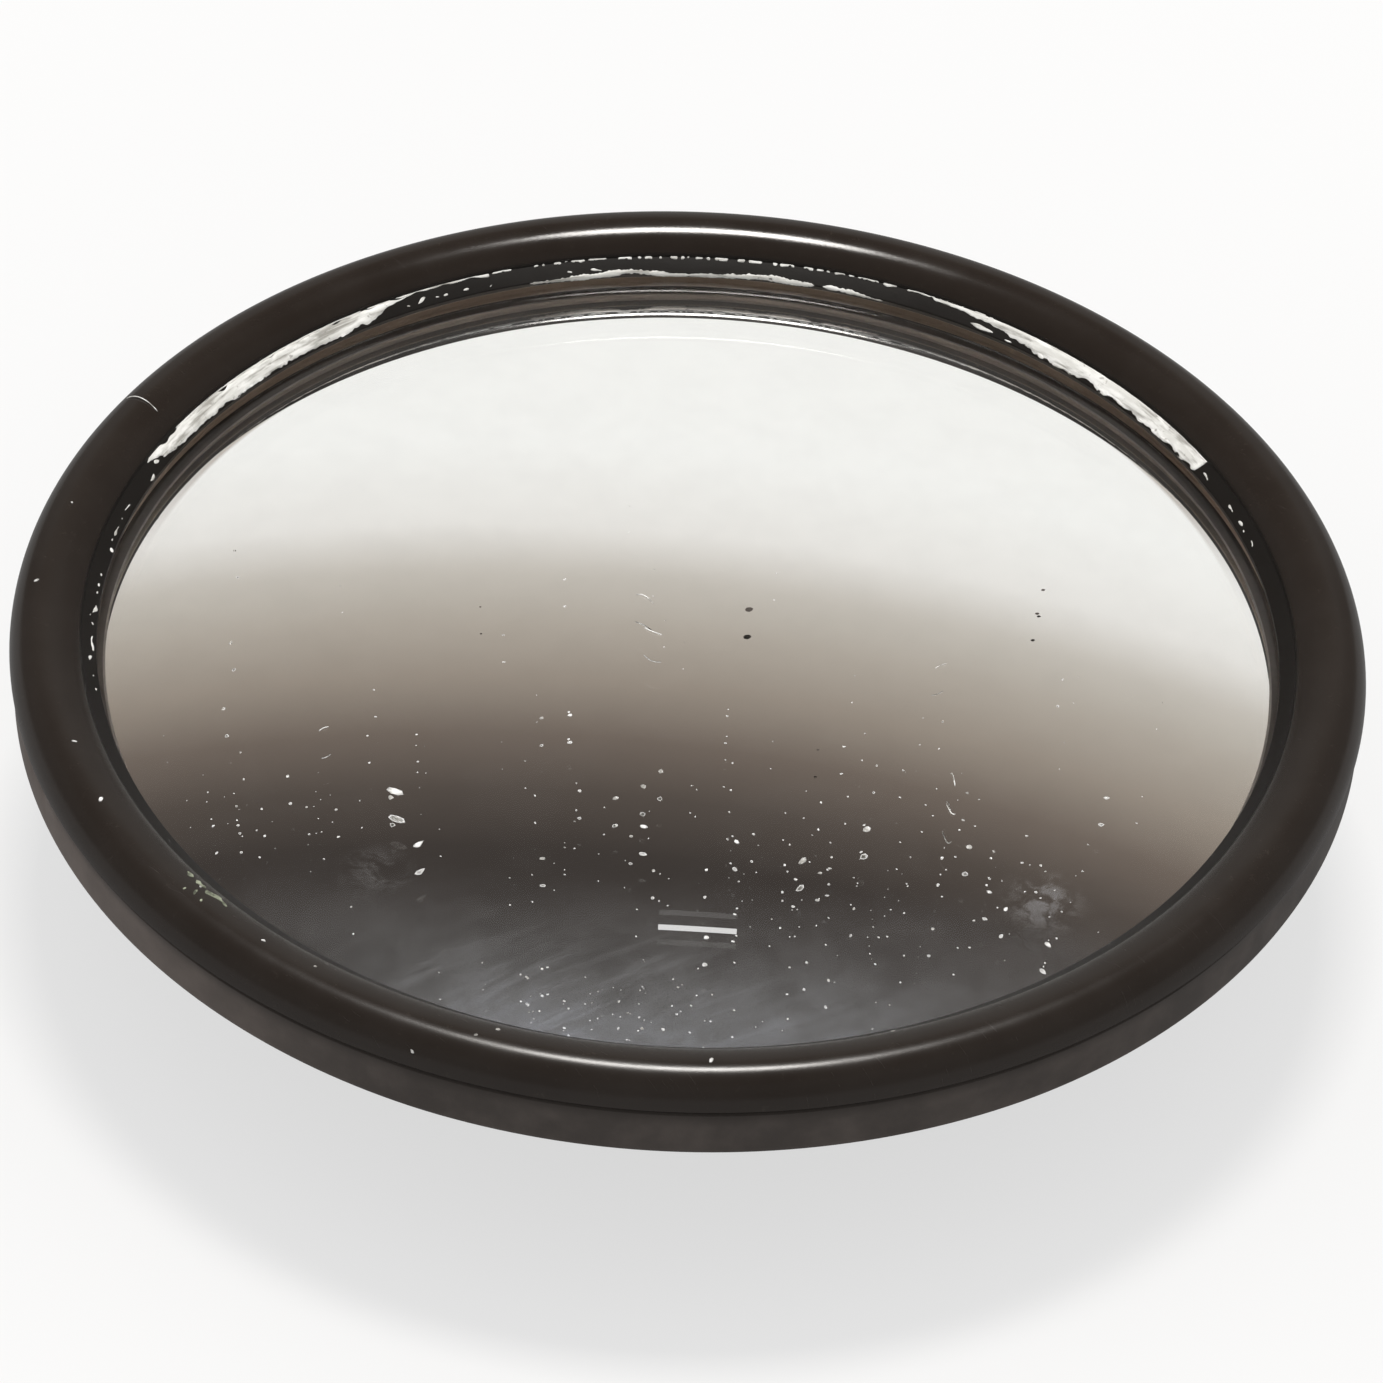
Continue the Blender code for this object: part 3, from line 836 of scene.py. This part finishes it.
def residue_mesh():
    """All the sealant that squeezed out on the ledge: first and last angle, shape, thickness, seed."""
    work = bmesh.new()
    for first, last, spans, thick, seed in (
        (30.3, 68, strip_right, 0.055, 1),
        (34, 66, strip_right_thin, 0.06, 2),
        (119, 159, strip_left, 0.055, 3),
        (112, 152, strip_left_top, 0.05, 4),
        (60, 112, dashes, 0.05, 5),
        (70, 110, wavy, 0.06, 6),
        (100, 122, spots, 0.05, 7),
        (16, 30, spots, 0.05, 8),
        (154, 196, spots, 0.05, 9),
    ):
        smear(work, first, last, spans, thick, seed)
    return work


seal_ring = turned([
    (GLASS_R + 0.02, RIM_Z - 1.35), (WELL_R - 0.01, RIM_Z - 1.35),
    (WELL_R - 0.01, RIM_Z - 0.12), (GLASS_R + 0.02, RIM_Z - 0.15),
], FINE)
piece("seal_bead", seal_ring, "head", [seal_shadow()], ["glass_sealant"], sharp=50)
piece("seal_residue", residue_mesh(), "head", [SEALANT], (), sharp=60)


def grain(work, place, out, size, turn, chance, stretch=1.0, thick=0.5):
    """A small irregular chip lying on a surface."""
    out = out.normalized()
    side = out.cross(Vector((math.sin(turn), -math.cos(turn), 0.1))).normalized()
    other = out.cross(side)
    ring = []
    for step in range(7):
        angle = 2 * math.pi * step / 7
        reach = size * chance.uniform(0.75, 1.2)
        spot = side * (reach * stretch * math.cos(angle)) + other * (reach * math.sin(angle))
        ring.append(work.verts.new((place + spot + out * (size * thick * 0.4)) * MM))
    top = work.verts.new((place + out * (size * thick)) * MM)
    low = work.verts.new((place + out * 0.004) * MM)
    for step in range(7):
        ahead = (step + 1) % 7
        work.faces.new((ring[step], ring[ahead], top))
        work.faces.new((ring[ahead], ring[step], low))


def on_glass(x, y):
    """Point on the glass face from fractions of its radius, and the direction out of it."""
    x, y = x * GLASS_R, y * GLASS_R
    place = Vector((x, y, GLASS_EDGE_Z + glass_height(math.hypot(x, y))))
    return place, Vector((x, y, math.sqrt(CURVE_R ** 2 - x * x - y * y))).normalized()


def on_bead(degrees, section):
    place, out = bead(section)
    c, s = math.cos(math.radians(degrees)), math.sin(math.radians(degrees))
    return Vector((place.x * c, place.x * s, place.y)), Vector((out.x * c, out.x * s, out.y))


def thread(work, points, radius, steps=6):
    """A thin closed tube along points, in millimetres."""
    rings = []
    for index, point in enumerate(points):
        ahead = points[min(index + 1, len(points) - 1)]
        behind = points[max(index - 1, 0)]
        along = (ahead - behind).normalized()
        side = along.cross(Vector((0.0, 0.0, 1.0))).normalized()
        other = along.cross(side)
        thin = radius * (0.35 if index in (0, len(points) - 1) else 1.0)
        rings.append([
            work.verts.new((point + (side * math.cos(a) + other * math.sin(a)) * thin) * MM)
            for a in (2 * math.pi * step / steps for step in range(steps))
        ])
    for first, second in zip(rings, rings[1:]):
        for step in range(steps):
            ahead = (step + 1) % steps
            work.faces.new((first[step], first[ahead], second[ahead], second[step]))
    work.faces.new(list(reversed(rings[0])))
    work.faces.new(rings[-1])


def arc_thread(work, place_at, first, last, bow, radius, count=14):
    """A thread between two spots of a surface, bowed sideways across it."""
    points = []
    for step in range(count + 1):
        t = step / count
        a = first[0] + (last[0] - first[0]) * t
        b = first[1] + (last[1] - first[1]) * t + bow * math.sin(math.pi * t)
        place, out = place_at(a, b)
        points.append(place + out * (radius * 0.9 + 0.05 * math.sin(math.pi * t)))
    thread(work, points, radius)


def across_bead(section, degrees):
    return on_bead(degrees, section)


# Clusters of dust: middle and spread as fractions of the glass radius, number, mean size in millimetres
DUST_CLUSTERS = (
    (0.38, -0.62, 0.17, 0.13, 82, 0.068),
    (0.00, -0.54, 0.15, 0.12, 26, 0.066),
    (-0.16, -0.885, 0.19, 0.045, 58, 0.056),
    (-0.72, -0.43, 0.11, 0.09, 28, 0.055),
    (0.0, -0.46, 0.50, 0.26, 62, 0.058),
    (0.0, 0.12, 0.62, 0.22, 14, 0.046),
)
DUST_SCALE = 0.52
DUST_SPREAD = 0.42
DUST_LIMIT = 0.955

# Larger chips on the glass: place as fractions of its radius, size in millimetres, turn, stretch
CHIPS = (
    (-0.467, -0.433, 0.15, -0.5, 2.0), (-0.423, -0.554, 0.12, 0.8, 1.9), (0.303, -0.478, 0.14, 1.2, 1.2),
    (0.695, -0.355, 0.09, 0.2, 1.2), (-0.06, -0.50, 0.11, -0.3, 1.6), (0.20, -0.56, 0.11, 1.0, 1.8),
    (0.47, -0.50, 0.11, 0.5, 1.1), (-0.22, -0.58, 0.08, 0.0, 1.3), (0.05, -0.74, 0.10, 0.4, 1.1),
    (0.60, -0.70, 0.10, -0.9, 1.6), (-0.19, -0.245, 0.09, 0.0, 1.1), (-0.77, 0.17, 0.07, 0.0, 1.0),
)

# Lint on the glass: both ends as fractions of its radius, sideways bow, thickness
LINT = (
    ((-0.092, 0.062), (-0.062, 0.040), 0.006, 0.022), ((-0.075, -0.022), (-0.045, -0.038), -0.004, 0.018),
    ((0.438, -0.335), (0.446, -0.362), 0.010, 0.020), ((0.432, -0.405), (0.447, -0.428), -0.010, 0.022),
    ((0.41, -0.08), (0.43, -0.066), 0.0, 0.016), ((-0.60, -0.29), (-0.585, -0.28), 0.0, 0.016),
)

# Specks on the rim: degrees round the ring, degrees over the bead
RIM_SPECKS = (
    (179.0, 76), (-111.2, 30), (-106.5, 86), (-128.0, 100), (-105.0, 108), (201.0, 100),
    (-137.0, 116), (-86.5, 94), (-122.5, 104), (168.0, 95), (-70.0, 130), (-151.0, 92),
)

# Dark grit on the glass: place as fractions of its radius, size in millimetres
GRIT_SPOTS = (
    (0.098, 0.037, 0.12), (0.590, 0.147, 0.065), (0.580, 0.083, 0.065),
    (0.22, -0.30, 0.05), (-0.35, 0.02, 0.04),
)


def dust_mesh(chance):
    work = bmesh.new()
    for mid_x, mid_y, wide, deep, number, mean in DUST_CLUSTERS:
        for _ in range(number):
            x, y = chance.gauss(mid_x, wide), chance.gauss(mid_y, deep)
            size = DUST_SCALE * mean * math.exp(chance.gauss(0, DUST_SPREAD))
            turn = chance.uniform(0, math.pi)
            if math.hypot(x, y) < DUST_LIMIT:
                grain(work, *on_glass(x, y), size, turn, chance, chance.uniform(1.0, 1.6))
    for x, y, size, turn, stretch in CHIPS:
        grain(work, *on_glass(x, y), size, turn, chance, stretch, 0.35)
    for first, last, bow, radius in LINT:
        arc_thread(work, on_glass, first, last, bow, radius)
    for degrees, section in RIM_SPECKS:
        size = chance.uniform(0.05, 0.10)
        turn = chance.uniform(0, 3)
        grain(work, *on_bead(degrees, section), size, turn, chance, chance.uniform(1.0, 1.8))
    arc_thread(work, across_bead, (58, 152.2), (119, 152.4), -0.2, 0.020)
    return work


def grit_mesh(chance):
    work = bmesh.new()
    for x, y, size in GRIT_SPOTS:
        grain(work, *on_glass(x, y), size, 0.4, chance, 1.3)
    return work


chance = random.Random(11)
piece("glass_dust", dust_mesh(chance), "head", [DUST])
piece("glass_grit", grit_mesh(chance), "head", [GRIT])


def paste(degrees):
    centre = 121 + 5 * rough_line(degrees, 0.9, 15.0)
    half = 3.0 + 4.0 * rough_line(degrees, 1.6, 16.0)
    return centre - half, centre + half


def paste_low(degrees):
    centre = 98 + 8 * rough_line(degrees, 1.4, 17.0)
    half = 5.5 * rough_line(degrees, 2.6, 18.0)
    return centre - half, centre + half


# A smear of dried paste on the rim, near the left front
work = bmesh.new()
smear(work, 220.5, 226.5, paste, 0.03, 11, 0.08, bead, 1.2)
smear(work, 222, 225.5, paste_low, 0.02, 12, 0.08, bead, 1.2)
piece("rim_paste", work, "head", [paste_green()])


# ---------------------------------------------------------------- foot

def tape_wobble(angle, radius, height):
    """The tape's edge is cut a little unevenly."""
    if radius < TAPE_HIGH.x / 2:
        return radius, height
    return radius + 0.05 * wave(angle, 7.0, 2.2) + 0.02 * wave(angle, 30.0, 4.0), height


tape_profile = rounded([
    (0, 0, 0),
    (TAPE_HIGH.x, 0, 0.06),
    (TAPE_HIGH.x, TAPE_HIGH.z, 0.06),
    (0, TAPE_HIGH.z, 0),
], 0.06, False)
tape = turned(tape_profile, MEDIUM, closed=False, wobble=tape_wobble)
piece("tape", tape, "foot", [FOAM], ["mounting_tape"])

base_profile = rounded([
    (0, BASE_LOW.z, 0),
    (BASE_HIGH.x, BASE_LOW.z, 0.35),
    (BASE_HIGH.x, BASE_TOP, 0.35),
    (12.9, BASE_TOP, 0.03),
    (12.8, BASE_TOP - 0.1, 0.03),
    (12.3, BASE_TOP - 0.1, 0.03),
    (12.2, BASE_TOP, 0.03),
    (GROOVE_OUT, BASE_TOP, 0.05),
    (GROOVE_OUT, BASE_TOP - GROOVE_DEEP, 0.05),
    (GROOVE_IN, BASE_TOP - GROOVE_DEEP, 0.05),
    (GROOVE_IN, BASE_TOP, 0.05),
    (BOSS_R, BASE_TOP, 0.15),
    (BOSS_R, BASE_HIGH.z, 0.12),
    (SCREW_HOLE_R, BASE_HIGH.z, 0.05),
    (SCREW_HOLE_R, BASE_LOW.z + 0.6, 0),
    (0, BASE_LOW.z + 0.6, 0),
], 0.05, False)
base = turned(base_profile, MEDIUM, closed=False)
piece("foot_disc", base, "foot", [PLASTIC], ["base_disc"], sharp=50)

washer_profile = rounded([
    (1.25, WASHER_LOW.z),
    (WASHER_HIGH.x, WASHER_LOW.z),
    (WASHER_HIGH.x, WASHER_HIGH.z),
    (1.25, WASHER_HIGH.z),
], 0.08)
piece("washer", turned(washer_profile, MEDIUM), "foot", [STEEL], ["pivot_washer"], sharp=50)

table_profile = rounded([
    (BOSS_R + 0.3, TABLE_LOW.z, 0.08),
    (TABLE_HIGH.x, TABLE_LOW.z, 0.3),
    (TABLE_HIGH.x, TABLE_TOP, 0.3),
    (10.7, TABLE_TOP, 0.04),
    (10.6, TABLE_TOP - LINE_DEEP, 0.04),
    (10.1, TABLE_TOP - LINE_DEEP, 0.04),
    (10.0, TABLE_TOP, 0.04),
    (BOSS_R + 0.3, TABLE_TOP, 0.08),
], 0.05)
table = turned(table_profile, MEDIUM)
piece("table_disc", table, "swivel", [PLASTIC], ["turntable"], sharp=50)
for side, word in ((-1, "left"), (1, "right")):
    ear = eye_plate(side * EAR_IN, side * EAR_OUT, TABLE_TOP - 0.15, PIN_R + 0.02, 0.35)
    piece("ear_" + word, ear, "swivel", [PLASTIC], ["turntable"], sharp=50)
    pin_profile = rounded([
        (0, PIN_LOW.x, 0),
        (PIN_R - 0.15, PIN_LOW.x, 0.05),
        (PIN_R, PIN_LOW.x + 0.15, 0.05),
        (PIN_R, PIN_HEAD_IN, 0.03),
        (PIN_HEAD_R, PIN_HEAD_IN, 0.06),
        (PIN_HEAD_R, 9.85, 0.1),
        (0.8, PIN_HIGH.x, 0.1),
        (0, PIN_HIGH.x, 0),
    ], 0.05, False)
    pin = moved(along_x(turned([(r, side * x) for r, x in pin_profile], SMALL, closed=False)), z=HINGE_Z)
    piece("pin_" + word, pin, "swivel", [STEEL], ["hinge_pin_" + word], sharp=50)
    ring_profile = rounded([
        (0.68, SPRING_LOW.x), (1.3, SPRING_LOW.x), (1.3, SPRING_HIGH.x), (0.68, SPRING_HIGH.x),
    ], 0.05)
    ring = moved(along_x(turned([(r, side * x) for r, x in ring_profile], SMALL)), z=HINGE_Z)
    piece("spring_ring_" + word, ring, "swivel", [STEEL], ["spring_washer_" + word], sharp=50)

# CAD nodes that keep their own shape
for node, material in (
    ("friction_ring", RUBBER), ("pivot_screw", STEEL), ("mirror_coating", silver_back()),
    ("glass_sealant", SEALANT), ("glass_pad", white_foam()),
):
    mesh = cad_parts[node].data
    mesh.materials.clear()
    mesh.materials.append(material)


# ---------------------------------------------------------------- stage, light and camera

def make_floor():
    work = bmesh.new()
    bmesh.ops.create_grid(work, x_segments=2, y_segments=2, size=3.0)
    mesh = bpy.data.meshes.new("floor")
    work.to_mesh(mesh)
    work.free()
    mesh.materials.append(pale_floor())
    floor = bpy.data.objects.new("floor", mesh)
    bpy.context.scene.collection.objects.link(floor)


# The sky's colour by its height in degrees
SKY = (
    (0.0, (1.22, 1.22, 1.19)),
    (33.0, (1.09, 1.09, 1.06)),
    (36.5, (0.96, 0.94, 0.90)),
    (38.5, (0.66, 0.62, 0.56)),
    (40.6, (0.505, 0.455, 0.395)),
    (42.8, (0.36, 0.31, 0.26)),
    (45.0, (0.19, 0.155, 0.13)),
    (47.1, (0.102, 0.084, 0.072)),
    (49.3, (0.056, 0.047, 0.042)),
    (53.0, (0.048, 0.043, 0.040)),
    (60.0, (0.10, 0.10, 0.10)),
    (90.0, (0.12, 0.12, 0.12)),
)
SKY_LEAN = 0.09                 # the sky's bands lean by this much per degree of azimuth


def make_world():
    """Sky by direction: bright low down, falling to a dim ceiling.

    The camera and diffuse light see an even pale sky. The mirror, seen through its glass, reflects the
    whole gradient. Other gloss reflects it dimmed, and more so to the sides.
    """
    world = bpy.data.worlds.new("studio")
    bpy.context.scene.world = world
    world.use_nodes = True
    tree = world.node_tree
    background = tree.nodes["Background"]
    place = tree.nodes.new("ShaderNodeTexCoord")
    parts = tree.nodes.new("ShaderNodeSeparateXYZ")
    tree.links.new(place.outputs["Generated"], parts.inputs[0])

    def calc(operation, first, second=0.0):
        node = tree.nodes.new("ShaderNodeMath")
        node.operation = operation
        for socket, value in zip(node.inputs, (first, second)):
            if isinstance(value, bpy.types.NodeSocket):
                tree.links.new(value, socket)
            else:
                socket.default_value = value
        return node.outputs[0]

    rise = calc("MULTIPLY", calc("ARCSINE", parts.outputs["Z"]), 180 / math.pi)
    side = calc("MULTIPLY", calc("ARCTAN2", parts.outputs["X"], parts.outputs["Y"]), 180 / math.pi)
    behind = calc("MINIMUM", calc("DIVIDE", calc("SUBTRACT", 180.0, calc("ABSOLUTE", side)), 60.0), 1.0)
    height = calc("SUBTRACT", rise, calc("MULTIPLY", calc("MULTIPLY", side, behind), SKY_LEAN))
    ramp = tree.nodes.new("ShaderNodeValToRGB")
    while len(ramp.color_ramp.elements) < len(SKY):
        ramp.color_ramp.elements.new(0.5)
    for element, (degrees, colour) in zip(ramp.color_ramp.elements, SKY):
        element.position = degrees / 90
        element.color = (*colour, 1.0)
    tree.links.new(calc("DIVIDE", height, 90.0), ramp.inputs[0])
    path = tree.nodes.new("ShaderNodeLightPath")
    dim = tree.nodes.new("ShaderNodeMix")
    dim.data_type = "RGBA"
    bounced = calc("SUBTRACT", path.outputs["Is Glossy Ray"], path.outputs["Is Transmission Ray"])
    bounced = calc("MAXIMUM", bounced, calc("GREATER_THAN", path.outputs["Glossy Depth"], 1.5))
    aside = calc("MINIMUM", calc("ADD", calc("MULTIPLY", calc("ABSOLUTE", side), 0.0065), 0.70), 0.93)
    tree.links.new(calc("MULTIPLY", bounced, aside), dim.inputs[0])
    tree.links.new(ramp.outputs[0], dim.inputs[6])
    dim.inputs[7].default_value = (0.0, 0.0, 0.0, 1.0)
    even = calc("MAXIMUM", path.outputs["Is Diffuse Ray"], path.outputs["Is Camera Ray"])
    mix = tree.nodes.new("ShaderNodeMix")
    mix.data_type = "RGBA"
    tree.links.new(even, mix.inputs[0])
    tree.links.new(dim.outputs[2], mix.inputs[6])
    mix.inputs[7].default_value = (0.90, 0.90, 0.90, 1.0)
    tree.links.new(mix.outputs[2], background.inputs["Color"])
    background.inputs["Strength"].default_value = 1.0


def area_light(name, azimuth, elevation, distance, size, power, colour=(1.0, 1.0, 1.0)):
    """A rectangular lamp that faces the mirror. Azimuth 0 is +Y and 90 is +X; lengths in metres."""
    data = bpy.data.lights.new(name, "AREA")
    data.shape = "RECTANGLE"
    data.size, data.size_y = size
    data.energy = power
    data.color = colour
    lamp = bpy.data.objects.new(name, data)
    bpy.context.scene.collection.objects.link(lamp)
    a, e = math.radians(azimuth), math.radians(elevation)
    away = Vector((math.sin(a) * math.cos(e), math.cos(a) * math.cos(e), math.sin(e)))
    lamp.location = away * distance
    lamp.rotation_mode = "QUATERNION"
    lamp.rotation_quaternion = away.to_track_quat("Z", "Y")


def make_camera():
    data = bpy.data.cameras.new("camera")
    data.lens = CAMERA_LENS
    data.clip_start = 0.01
    data.clip_end = 20.0
    camera = bpy.data.objects.new("camera", data)
    bpy.context.scene.collection.objects.link(camera)
    e = math.radians(CAMERA_ELEVATION)
    back = Vector((0.0, -math.cos(e), math.sin(e)))
    target = Vector((CAMERA_TARGET[0], CAMERA_TARGET[1], RIM_Z)) * MM
    camera.location = target + back * CAMERA_DISTANCE * MM
    right = Vector((1.0, 0.0, 0.0))
    up = back.cross(right)
    roll = math.radians(CAMERA_ROLL)
    rolled_right = right * math.cos(roll) + up * math.sin(roll)
    rolled_up = up * math.cos(roll) - right * math.sin(roll)
    turn = Matrix((rolled_right, rolled_up, back)).transposed()
    camera.rotation_mode = "QUATERNION"
    camera.rotation_quaternion = turn.to_quaternion()
    bpy.context.scene.camera = camera


make_floor()
make_world()
area_light("overhead", 0, 79, 1.2, (0.30, 0.22), 10.5, (1.0, 0.97, 0.93))
area_light("strip", 0.8, 52.55, 1.2, (0.039, 0.0042), 0.0004)
make_camera()
bpy.context.scene.view_settings.view_transform = "Standard"
bpy.context.scene.view_settings.look = "None"
